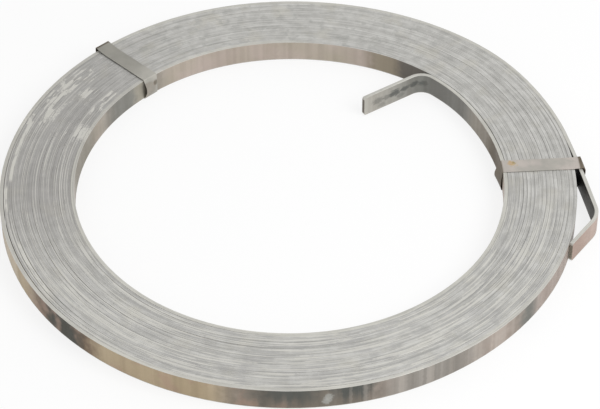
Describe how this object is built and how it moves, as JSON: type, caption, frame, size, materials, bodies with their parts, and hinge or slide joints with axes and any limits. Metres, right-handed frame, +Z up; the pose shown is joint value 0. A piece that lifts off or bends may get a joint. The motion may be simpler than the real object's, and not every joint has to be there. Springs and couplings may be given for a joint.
{
  "type": "steel coil",
  "caption": "Coil of flat galvanised steel strip lying on its end, tied with steel straps, its inner end bent into the bore and its outer end folded back against the outside.",
  "frame": {"origin": "on the coil's axis, in the plane of the floor that the coil lies on", "axes": "+Z up along the coil's axis; +X towards the side where the strip's outer end is folded back; +Y away from the camera of the picture"},
  "size_m": [0.6448, 0.6321, 0.0266],
  "materials": {
    "galvanised_strip": "satin",
    "strap_steel": "satin"
  },
  "bodies": {
    "root": {"strip_coil": "galvanised_strip", "strap_back": "strap_steel", "strap_right": "strap_steel"}
  },
  "joints": []
}
